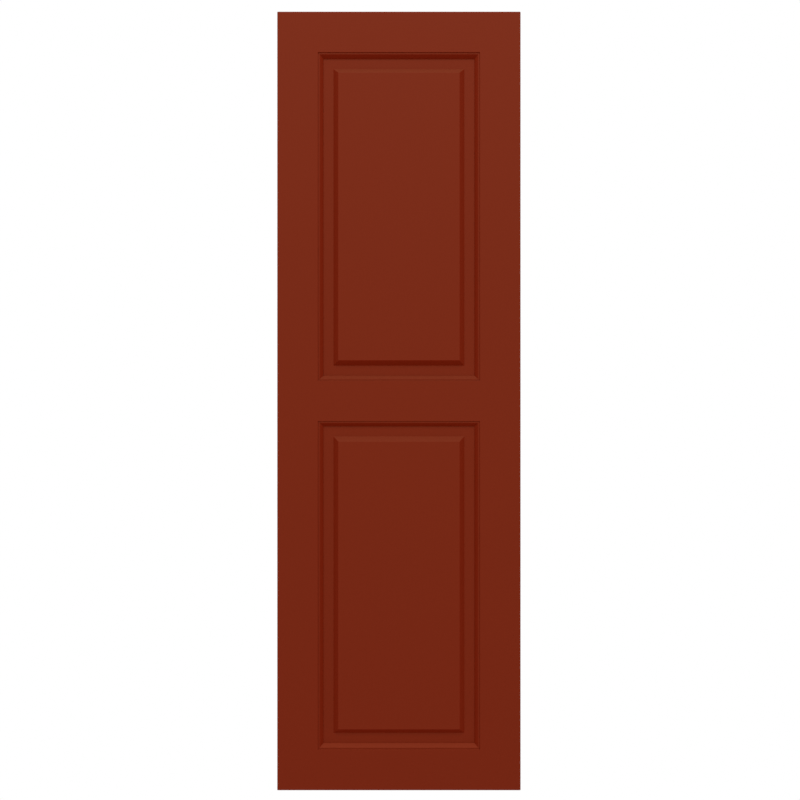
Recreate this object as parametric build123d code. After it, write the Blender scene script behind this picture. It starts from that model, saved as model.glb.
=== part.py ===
from build123d import *
from collections import namedtuple
import os

# An exterior window shutter: a frame of two stiles and three rails, a raised panel held in
# grooves in each of its two equal openings, and a mitred bead round each panel's front.
# X runs across the shutter, Z up it and +Y into the wall. The origin is the middle of the
# flat back, so the frame's front face lies at Y = -FRAME_THICKNESS. Sizes are in millimetres.

# Frame boards
SHUTTER_WIDTH = 381.0
SHUTTER_HEIGHT = 1219.2
FRAME_THICKNESS = 28.6
STILE_WIDTH = 64.0
TOP_RAIL_WIDTH = 64.0
MIDDLE_RAIL_WIDTH = 64.0
BOTTOM_RAIL_WIDTH = 64.0
OUTER_ARRIS_RADIUS = 1.2
FRONT_ARRIS = 0.5
BACK_ARRIS = 1.5

# Haunched tenons, in line with the panel grooves
TENON_LENGTH = 38.0
TENON_END_GAP = 1.5
HAUNCH_WIDTH = 16.0
HAUNCH_END_GAP = 0.5

# Bead mouldings, in section: a ledge, a slightly rounded slope and a low upright toe
BEAD_DROP = 1.5
BEAD_LEDGE = 2.4
SLOPE_WIDTH = 5.4
SLOPE_HEIGHT = 5.1
SLOPE_BULGE = 0.1
BEAD_TOE = 0.6

# Raised panels and the grooves that hold their tongues
TONGUE_THICKNESS = 8.0
TONGUE_REACH = 8.0
TONGUE_END_GAP = 1.5
GROOVE_CLEARANCE = 0.3
FLAT_WIDTH = 15.8
BEVEL_WIDTH = 8.0
FIELD_SETBACK = 0.0
FIELD_ARRIS_RADIUS = 0.8

# Sizes that follow from those above
BEAD_WIDTH = BEAD_LEDGE + SLOPE_WIDTH
FLAT_DEPTH = BEAD_DROP + SLOPE_HEIGHT + BEAD_TOE
GROOVE_WIDTH = TONGUE_THICKNESS + GROOVE_CLEARANCE
GROOVE_DEPTH = TONGUE_REACH + TONGUE_END_GAP
OPENING_WIDTH = SHUTTER_WIDTH - 2 * STILE_WIDTH
OPENING_HEIGHT = (SHUTTER_HEIGHT - TOP_RAIL_WIDTH - MIDDLE_RAIL_WIDTH - BOTTOM_RAIL_WIDTH) / 2

# Places across the thickness, from the front face back to the wall
FRONT_Y = -FRAME_THICKNESS
FLAT_Y = FRONT_Y + FLAT_DEPTH
GROOVE_BACK_Y = FLAT_Y + GROOVE_WIDTH

# Edges of the three rails, from the bottom of the shutter up
Rail = namedtuple("Rail", "low high panel_below panel_above")
BOTTOM_Z = -SHUTTER_HEIGHT / 2
LOWER_OPENING_Z = BOTTOM_Z + BOTTOM_RAIL_WIDTH
UPPER_OPENING_Z = LOWER_OPENING_Z + OPENING_HEIGHT + MIDDLE_RAIL_WIDTH
RAILS = {
    "bottom_rail": Rail(BOTTOM_Z, LOWER_OPENING_Z, False, True),
    "middle_rail": Rail(LOWER_OPENING_Z + OPENING_HEIGHT, UPPER_OPENING_Z, True, True),
    "top_rail": Rail(UPPER_OPENING_Z + OPENING_HEIGHT, -BOTTOM_Z, True, False),
}

# Height of each opening's centre
OPENINGS = {
    "lower": LOWER_OPENING_Z + OPENING_HEIGHT / 2,
    "upper": UPPER_OPENING_Z + OPENING_HEIGHT / 2,
}


def block(x_span, y_span, z_span):
    """A rectangular block between three (low, high) pairs."""
    spans = (x_span, y_span, z_span)
    centre = [(low + high) / 2 for low, high in spans]
    return Pos(*centre) * Box(*(high - low for low, high in spans))


def tapered_block(centre_z, back_y, back_size, front_y, front_size):
    """A four-sided block from one upright (width, height) rectangle to another in front of it."""
    ends = [
        Plane.XZ.offset(-y) * Pos(0, centre_z) * Rectangle(*size)
        for y, size in ((back_y, back_size), (front_y, front_size))
    ]
    return loft(ends)


def grown(margin):
    """The opening's (width, height), grown by a margin on every side."""
    return OPENING_WIDTH + 2 * margin, OPENING_HEIGHT + 2 * margin


def grooved_section(width, grooved_edges):
    """Section of a frame board across X and Y, with a panel groove in its -1 or +1 edge or both."""
    section = Pos(0, FRONT_Y / 2) * Rectangle(width, FRAME_THICKNESS)
    for edge in grooved_edges:
        mouth = Pos(edge * width / 2, (FLAT_Y + GROOVE_BACK_Y) / 2)
        section -= mouth * Rectangle(2 * GROOVE_DEPTH, GROOVE_WIDTH)
    return section


def eased(board):
    """Rounds what a board has of the shutter's outer edges, and chamfers round its openings."""
    outline = fillet(
        block(
            (-SHUTTER_WIDTH / 2, SHUTTER_WIDTH / 2),
            (FRONT_Y, 0),
            (BOTTOM_Z, -BOTTOM_Z),
        ).edges(),
        OUTER_ARRIS_RADIUS,
    )
    board &= outline
    for centre_z in OPENINGS.values():
        board -= tapered_block(
            centre_z, FRONT_Y + FRONT_ARRIS, grown(0), FRONT_Y, grown(FRONT_ARRIS)
        )
        board -= tapered_block(centre_z, 0, grown(BACK_ARRIS), -BACK_ARRIS, grown(0))
    return board


def haunch_span(rail):
    """Low and high edge of the tongue on a rail's end that fills the stile's groove."""
    low = rail.low + (GROOVE_DEPTH if rail.panel_below else 0)
    high = rail.high - (GROOVE_DEPTH if rail.panel_above else 0)
    return low, high


def tenon_span(rail):
    """Low and high edge of a rail's long tenon, kept back from the ends of the stile."""
    low, high = haunch_span(rail)
    if not rail.panel_below:
        low += HAUNCH_WIDTH
    if not rail.panel_above:
        high -= HAUNCH_WIDTH
    return low, high


def make_rail(rail):
    """A rail between the stiles, with a haunched tenon on each end."""
    grooved_edges = [edge for edge, used in ((1, rail.panel_below), (-1, rail.panel_above)) if used]
    section = grooved_section(rail.high - rail.low, grooved_edges)
    body = Pos(0, 0, -OPENING_WIDTH / 2) * extrude(section, amount=OPENING_WIDTH)
    board = eased(Pos(0, 0, (rail.low + rail.high) / 2) * Rot(0, 90, 0) * body)
    haunch_end = OPENING_WIDTH / 2 + GROOVE_DEPTH - HAUNCH_END_GAP
    tenon_end = OPENING_WIDTH / 2 + TENON_LENGTH
    cheeks = (FLAT_Y, GROOVE_BACK_Y)
    board += block((-haunch_end, haunch_end), cheeks, haunch_span(rail))
    board += block((-tenon_end, tenon_end), cheeks, tenon_span(rail))
    return board


def make_stile(side):
    """The stile on the -1 or +1 side, grooved for the panels and mortised for the rails."""
    section = grooved_section(STILE_WIDTH, [-side])
    board = Pos(0, 0, BOTTOM_Z) * extrude(section, amount=SHUTTER_HEIGHT)
    board = eased(Pos(side * (SHUTTER_WIDTH - STILE_WIDTH) / 2, 0, 0) * board)
    mouth = side * (OPENING_WIDTH / 2)
    floor = side * (OPENING_WIDTH / 2 + TENON_LENGTH + TENON_END_GAP)
    for rail in RAILS.values():
        board -= block(sorted((mouth, floor)), (FLAT_Y, GROOVE_BACK_Y), tenon_span(rail))
    return board


def make_panel(centre_z):
    """A raised panel: a tongue all round, a flat, a bevel and a raised field."""
    tongue_size = grown(TONGUE_REACH)
    back_y = FLAT_Y + TONGUE_THICKNESS
    panel = extrude(
        Plane.XZ.offset(-back_y) * Pos(0, centre_z) * Rectangle(*tongue_size),
        amount=TONGUE_THICKNESS,
    )
    bevel_foot = -(BEAD_WIDTH + FLAT_WIDTH)
    field = tapered_block(
        centre_z,
        FLAT_Y,
        grown(bevel_foot),
        FRONT_Y + FIELD_SETBACK,
        grown(bevel_foot - BEVEL_WIDTH),
    )
    front_face = field.faces().sort_by(Axis.Y)[0]
    return panel + fillet(front_face.edges(), FIELD_ARRIS_RADIUS)


def bead_section():
    """Section of a bead: across is away from the frame, and down is away from the front face."""
    slope = SagittaArc(
        (BEAD_LEDGE, -BEAD_DROP), (BEAD_WIDTH, BEAD_TOE - FLAT_DEPTH), SLOPE_BULGE
    )
    foot = Polyline(
        slope @ 1,
        (BEAD_WIDTH, -FLAT_DEPTH),
        (0, -FLAT_DEPTH),
        (0, -BEAD_DROP),
        slope @ 0,
    )
    return make_face(slope + foot)


def make_bead(length):
    """A bead along X under a frame edge at Z = 0, mitred at both ends."""
    end = Plane(origin=(length / 2, FRONT_Y, 0), x_dir=(0, 0, -1), z_dir=(-1, 0, 0))
    strip = extrude(end * bead_section(), amount=length)
    mitred = Polyline(
        (-length / 2, 0),
        (length / 2, 0),
        (length / 2 - BEAD_WIDTH, -BEAD_WIDTH),
        (-length / 2 + BEAD_WIDTH, -BEAD_WIDTH),
        close=True,
    )
    return strip & extrude(Plane.XZ * make_face(mitred), amount=FRAME_THICKNESS)


def beads_round(centre_z):
    """The four beads of one opening, by side."""
    across = make_bead(OPENING_WIDTH)
    upright = make_bead(OPENING_HEIGHT)
    to_edge = OPENING_HEIGHT / 2
    to_side = OPENING_WIDTH / 2
    return {
        "top": Pos(0, 0, centre_z + to_edge) * across,
        "bottom": Pos(0, 0, centre_z - to_edge) * Rot(0, 180, 0) * across,
        "left": Pos(-to_side, 0, centre_z) * Rot(0, -90, 0) * upright,
        "right": Pos(to_side, 0, centre_z) * Rot(0, 90, 0) * upright,
    }


nodes = {"left_stile": make_stile(-1), "right_stile": make_stile(1)}
for name, rail in RAILS.items():
    nodes[name] = make_rail(rail)
for name, centre_z in OPENINGS.items():
    nodes[f"{name}_panel"] = make_panel(centre_z)
    for side, bead in beads_round(centre_z).items():
        nodes[f"{name}_bead_{side}"] = bead

os.makedirs("parts", exist_ok=True)
for name, shape in nodes.items():
    export_step(shape, f"parts/{name}.step")
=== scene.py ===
import math

import bpy
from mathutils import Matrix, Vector


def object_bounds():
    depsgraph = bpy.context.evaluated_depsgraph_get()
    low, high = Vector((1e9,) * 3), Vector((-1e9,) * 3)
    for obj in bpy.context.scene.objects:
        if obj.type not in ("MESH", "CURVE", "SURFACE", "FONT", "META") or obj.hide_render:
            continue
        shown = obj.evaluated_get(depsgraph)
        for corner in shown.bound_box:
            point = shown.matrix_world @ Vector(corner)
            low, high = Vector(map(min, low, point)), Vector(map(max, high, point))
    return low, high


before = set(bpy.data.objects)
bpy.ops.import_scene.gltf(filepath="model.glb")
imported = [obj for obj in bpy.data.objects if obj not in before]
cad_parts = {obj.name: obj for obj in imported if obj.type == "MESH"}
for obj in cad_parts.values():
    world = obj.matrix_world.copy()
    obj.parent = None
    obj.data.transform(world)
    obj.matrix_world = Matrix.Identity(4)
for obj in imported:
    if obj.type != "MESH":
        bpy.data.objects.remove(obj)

# A painted exterior shutter with two raised panels, seen square on from its front.
# The construction comes from model.glb; this script gives it paint, light, a floor and a camera.
# Everything is in metres: X across the shutter, Z up it, and the front faces -Y.

CAD_BOUNDS = [list(corner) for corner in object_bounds()]
FRONT_Y = CAD_BOUNDS[0][1]
BOTTOM_Z = CAD_BOUNDS[0][2]

# Camera: PICTURE_WIDTH is what the picture spans where it meets the shutter's front
PICTURE_WIDTH = 1.2520
CAMERA_DISTANCE = 1.37
CAMERA_ASIDE = 0.0017
CAMERA_ABOVE = 0.0015
LEVEL_AHEAD = math.radians(90)
SENSOR_WIDTH = 36.0

# Light: a soft key lamp in a room that is white all round
KEY_PLACE = Vector((0.21, -2.44, 2.81))
KEY_SIZE = 1.5
KEY_POWER = 62.6
ROOM_LIGHT = 0.763
WHITE = (1.0, 1.0, 1.0, 1.0)

# Floor: grey that takes the shadow, shown ever whiter from FLOOR_FADE_START to FLOOR_FADE_END
FLOOR_DROP = 0.30
FLOOR_SIZE = 14.0
FLOOR_GREY = (0.80, 0.80, 0.80, 1.0)
FLOOR_FADE_START = 0.20
FLOOR_FADE_END = 0.60
FLOOR_WHITE_AT_MIDDLE = 0.45

# Paint, in linear red, green and blue
DEEP_RED = (0.167, 0.0094, 0.0005)
# A paler tone painted on as sheen where the key lamp's light falls, not a colour of the paint
PAINTED_SHEEN = (0.004, 0.0156, 0.0079)
PAINT_GLOSS = 0.05
PAINT_ROUGHNESS = 0.66

# Painted sheen, a paler tone that stands in for the key lamp's light: on faces turned towards the
# lamp, from none at the threshold below to whole at 1
SHEEN_FROM_LAMP = (0.0, -0.81, 0.59)
SHEEN_START = 0.5
SHEEN_AT_MIDDLE = 0.94
SHEEN_RISE_PER_METRE = 0.34

# Painted light on ledges that look up, brightening them, from none at the top height below to whole
# at the bottom height
LEDGE_PAINTED_LIGHT = 0.18
LEDGE_LIGHT_TOP = 0.05
LEDGE_LIGHT_BOTTOM = -0.50
LEDGE_UPWARD = 0.6

# Tone patches, some 0.2 m across
PATCHES_PER_METRE = 5.0
PATCH_DETAIL = 3.0
PATCH_TONE = 0.035
PATCH_ROUGHNESS = 0.10

# Brush marks, long and fine
BRUSH_MARKS_PER_METRE = 900.0
BRUSH_MARK_STRETCH = 60.0
BRUSH_MARK_DETAIL = 2.0
BRUSH_MARK_TONE = 0.0175
BRUSH_MARK_ROUGHNESS = 0.06
BRUSH_MARK_HEIGHT = 0.000150

# Orange peel, the faint dimpling of a paint film
ORANGE_PEEL_PER_METRE = 520.0
ORANGE_PEEL_DETAIL = 1.0
ORANGE_PEEL_HEIGHT = 0.000060

# All three patterns: how far they shift from one piece to the next, and the middle of their noise
PATTERN_STEP = (1.7, 0.9, 2.3)
NOISE_MIDDLE = 0.5


class Output:
    """What a node gives out. Adding, subtracting or multiplying outputs adds Math nodes."""

    def __init__(self, finish, socket):
        self.finish = finish
        self.socket = socket

    def maths(self, operation, first, second):
        made = self.finish.node("ShaderNodeMath", {"operation": operation}, {0: first, 1: second})
        return made.out("Value")

    def __add__(self, other):
        return self.maths("ADD", self, other)

    def __radd__(self, other):
        return self.maths("ADD", other, self)

    def __sub__(self, other):
        return self.maths("SUBTRACT", self, other)

    def __rsub__(self, other):
        return self.maths("SUBTRACT", other, self)

    def __mul__(self, other):
        return self.maths("MULTIPLY", self, other)

    def __rmul__(self, other):
        return self.maths("MULTIPLY", other, self)


class Made:
    """A node that has been added to a finish."""

    def __init__(self, finish, node):
        self.finish = finish
        self.outputs = node.outputs

    def out(self, name):
        return Output(self.finish, self.outputs[name])


class Finish:
    """The shader nodes of a material or of the world."""

    def __init__(self, owner):
        owner.use_nodes = True
        self.tree = owner.node_tree
        self.tree.nodes.clear()

    def node(self, kind, settings, sockets):
        """Adds a node, makes its settings, then sets or links its sockets."""
        node = self.tree.nodes.new(kind)
        for name, setting in settings.items():
            setattr(node, name, setting)
        for name, value in sockets.items():
            source = getattr(value, "socket", value)
            if isinstance(source, bpy.types.NodeSocket):
                self.tree.links.new(source, node.inputs[name])
            else:
                node.inputs[name].default_value = source
        return Made(self, node)


def ramp(finish, value, start, end):
    """Rises from 0 to 1 while the value goes from start to end."""
    made = finish.node(
        "ShaderNodeMapRange", {}, {"Value": value, "From Min": start, "From Max": end}
    )
    return made.out("Result")


def noise(finish, place, per_metre, detail):
    """Noise that swings either side of 0."""
    made = finish.node(
        "ShaderNodeTexNoise", {}, {"Vector": place, "Scale": per_metre, "Detail": detail}
    )
    return made.out("Fac") - NOISE_MIDDLE


def seen_directly(finish):
    """1 on rays from the camera or through a reflection or glass, and 0 on the light that fills."""
    ray = finish.node("ShaderNodeLightPath", {}, {})
    seen = ray.out("Is Camera Ray") + ray.out("Is Glossy Ray") + ray.out("Is Transmission Ray")
    return finish.node("ShaderNodeClamp", {}, {"Value": seen}).out("Result")


def red_with_painted_sheen(finish, facing, height):
    """The deep red, with a paler painted sheen on faces turned towards the key lamp, more higher
    up.
    """
    lamp_facing = finish.node(
        "ShaderNodeVectorMath", {"operation": "DOT_PRODUCT"}, {0: facing, 1: SHEEN_FROM_LAMP}
    ).out("Value")
    # Painted sheen: its share grows on faces turned to the lamp and higher up
    share = ramp(finish, lamp_facing, SHEEN_START, 1.0) * (SHEEN_AT_MIDDLE + height * SHEEN_RISE_PER_METRE)
    sheen_tone = finish.node(
        "ShaderNodeVectorMath", {"operation": "SCALE"}, {0: PAINTED_SHEEN, "Scale": share}
    ).out("Vector")
    return finish.node(
        "ShaderNodeVectorMath", {"operation": "ADD"}, {0: DEEP_RED, 1: sheen_tone}
    ).out("Vector")


def painted_ledge_light(finish, facing, height):
    """Painted light: 0 on upright faces, rising on those that look up, the more the lower they are.
    """
    upward = finish.node("ShaderNodeSeparateXYZ", {}, {"Vector": facing}).out("Z")
    low = ramp(finish, height, LEDGE_LIGHT_TOP, LEDGE_LIGHT_BOTTOM)
    return ramp(finish, upward, 0.0, LEDGE_UPWARD) * low * LEDGE_PAINTED_LIGHT


def brushed_paint(name, along, number):
    """Low-sheen paint, brushed along one axis of the board, with painted sheen from the key lamp
    and painted light on its lower ledges.
    """
    material = bpy.data.materials.new(name)
    finish = Finish(material)
    where = finish.node("ShaderNodeTexCoord", {}, {})
    facing = where.out("Normal")
    height = finish.node("ShaderNodeSeparateXYZ", {}, {"Vector": where.out("Object")}).out("Z")

    shift = tuple(number * step for step in PATTERN_STEP)
    place = finish.node(
        "ShaderNodeMapping", {}, {"Vector": where.out("Object"), "Location": shift}
    ).out("Vector")
    stretch = [1.0, 1.0, 1.0]
    stretch["XYZ".index(along)] = 1.0 / BRUSH_MARK_STRETCH
    combed = finish.node(
        "ShaderNodeMapping", {}, {"Vector": place, "Scale": tuple(stretch)}
    ).out("Vector")
    patches = noise(finish, place, PATCHES_PER_METRE, PATCH_DETAIL)
    marks = noise(finish, combed, BRUSH_MARKS_PER_METRE, BRUSH_MARK_DETAIL)
    peel = noise(finish, place, ORANGE_PEEL_PER_METRE, ORANGE_PEEL_DETAIL)

    brightness = 1.0 + patches * PATCH_TONE + marks * BRUSH_MARK_TONE
    # Painted light brightens the ledges that look up, the more the lower they are
    brightness = brightness + painted_ledge_light(finish, facing, height)
    colour = finish.node(
        "ShaderNodeVectorMath",
        {"operation": "SCALE"},
        {0: red_with_painted_sheen(finish, facing, height), "Scale": brightness},
    ).out("Vector")
    rise = peel * ORANGE_PEEL_HEIGHT + marks * BRUSH_MARK_HEIGHT
    relief = finish.node("ShaderNodeBump", {}, {"Height": rise, "Strength": 1.0, "Distance": 1.0})
    paint = finish.node(
        "ShaderNodeBsdfPrincipled",
        {},
        {
            "Base Color": colour,
            "Roughness": PAINT_ROUGHNESS + patches * PATCH_ROUGHNESS + marks * BRUSH_MARK_ROUGHNESS,
            "Specular IOR Level": PAINT_GLOSS,
            "Normal": relief.out("Normal"),
        },
    )
    finish.node("ShaderNodeOutputMaterial", {}, {"Surface": paint.out("BSDF")})
    return material


def paint_shutter():
    """Gives every board, panel and bead its own coat, brushed along its length."""
    for number, (name, piece) in enumerate(sorted(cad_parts.items())):
        lies_across = name.endswith(("rail", "bead_top", "bead_bottom"))
        material = brushed_paint(f"{name}_paint", "X" if lies_across else "Z", number)
        for slot in piece.material_slots:
            slot.material = material


def add_camera():
    """A level camera square to the shutter's front, a little off its middle."""
    data = bpy.data.cameras.new("camera")
    data.sensor_width = SENSOR_WIDTH
    data.lens = SENSOR_WIDTH * CAMERA_DISTANCE / PICTURE_WIDTH
    camera = bpy.data.objects.new("camera", data)
    camera.location = (CAMERA_ASIDE, FRONT_Y - CAMERA_DISTANCE, CAMERA_ABOVE)
    camera.rotation_euler = (LEVEL_AHEAD, 0, 0)
    bpy.context.scene.collection.objects.link(camera)
    bpy.context.scene.camera = camera


def add_key_light():
    """One soft lamp in front of the shutter and above it."""
    data = bpy.data.lights.new("key", "AREA")
    data.shape = "SQUARE"
    data.size = KEY_SIZE
    data.energy = KEY_POWER
    lamp = bpy.data.objects.new("key", data)
    lamp.location = KEY_PLACE
    lamp.rotation_euler = (-KEY_PLACE).to_track_quat("-Z", "Y").to_euler()
    bpy.context.scene.collection.objects.link(lamp)


def add_room():
    """Even light from all round, with white behind whatever is looked at."""
    world = bpy.data.worlds.new("room")
    bpy.context.scene.world = world
    finish = Finish(world)
    strength = ROOM_LIGHT + seen_directly(finish) * (1.0 - ROOM_LIGHT)
    light = finish.node("ShaderNodeBackground", {}, {"Color": WHITE, "Strength": strength})
    finish.node("ShaderNodeOutputWorld", {}, {"Surface": light.out("Background")})


def floor_finish():
    """Pale grey that fades into the white of the room away from the shutter."""
    material = bpy.data.materials.new("pale_floor")
    finish = Finish(material)
    place = finish.node("ShaderNodeTexCoord", {}, {}).out("Object")
    level_place = finish.node(
        "ShaderNodeVectorMath", {"operation": "MULTIPLY"}, {0: place, 1: (1.0, 1.0, 0.0)}
    ).out("Vector")
    away = finish.node(
        "ShaderNodeVectorMath", {"operation": "LENGTH"}, {0: level_place}
    ).out("Value")
    whiteness = finish.node(
        "ShaderNodeMapRange",
        {},
        {
            "Value": away,
            "From Min": FLOOR_FADE_START,
            "From Max": FLOOR_FADE_END,
            "To Min": FLOOR_WHITE_AT_MIDDLE,
            "To Max": 1.0,
        },
    ).out("Result")
    matt = finish.node("ShaderNodeBsdfDiffuse", {}, {"Color": FLOOR_GREY})
    glow = finish.node("ShaderNodeEmission", {}, {"Color": WHITE, "Strength": 1.0})
    shown = finish.node(
        "ShaderNodeMixShader",
        {},
        {0: seen_directly(finish) * whiteness, 1: matt.out("BSDF"), 2: glow.out("Emission")},
    )
    finish.node("ShaderNodeOutputMaterial", {}, {"Surface": shown.out("Shader")})
    return material


def add_floor():
    """A pale floor some way below the shutter, which hangs clear of the ground."""
    bpy.ops.object.select_all(action="DESELECT")
    bpy.ops.mesh.primitive_plane_add(size=FLOOR_SIZE, location=(0, 0, BOTTOM_Z - FLOOR_DROP))
    floor = bpy.context.active_object
    floor.name = "floor"
    bpy.ops.object.transform_apply(location=True, rotation=False, scale=False)
    floor.data.materials.append(floor_finish())


def set_view():
    """Shows colours as the light gives them, with no film look."""
    bpy.context.scene.view_settings.view_transform = "Standard"


paint_shutter()
add_camera()
add_key_light()
add_room()
add_floor()
set_view()
